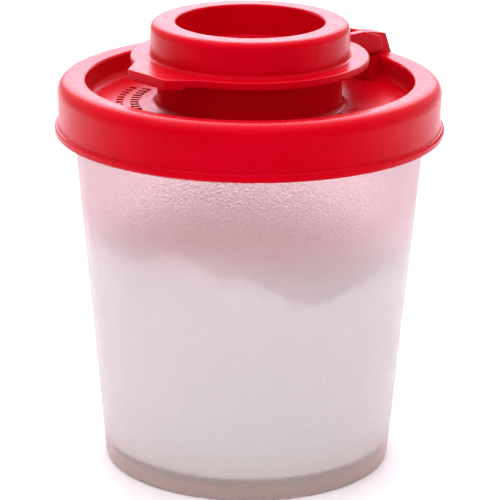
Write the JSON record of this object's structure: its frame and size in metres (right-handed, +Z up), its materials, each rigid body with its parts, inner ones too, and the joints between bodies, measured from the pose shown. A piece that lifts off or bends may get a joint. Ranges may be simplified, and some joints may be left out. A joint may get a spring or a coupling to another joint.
{
  "type": "flip-top shaker jar",
  "caption": "Small frosted tumbler of white powder with a press-on seal lid, a sifting neck and a hinged flip cap with a thumb tab.",
  "frame": {"origin": "centre of the foot ring's underside, on the jar's axis", "axes": "+Z up along the jar's axis; -Y towards the cap's thumb tab and +Y towards its hinge; +X to the right as seen from the tab"},
  "size_m": [0.0516, 0.0516, 0.06],
  "materials": {
    "frosted_plastic": "satin",
    "red_plastic": "satin",
    "white_powder": "matte"
  },
  "bodies": {
    "jar": {"tumbler": "frosted_plastic", "powder_fill": "white_powder"},
    "lid": {"seal_lid": "red_plastic"},
    "cap": {"flip_cap": "red_plastic"}
  },
  "joints": [
    {"name": "lid_lift", "type": "slide", "parent": "jar", "child": "lid", "axis": [0, 0, 1], "range_m": [0, 0.025]},
    {"name": "cap_flip", "type": "hinge", "parent": "lid", "child": "cap", "pos_m": [0, 0.0209, 0.05405], "axis": [-1, 0, 0], "range_deg": [0, 155]}
  ]
}
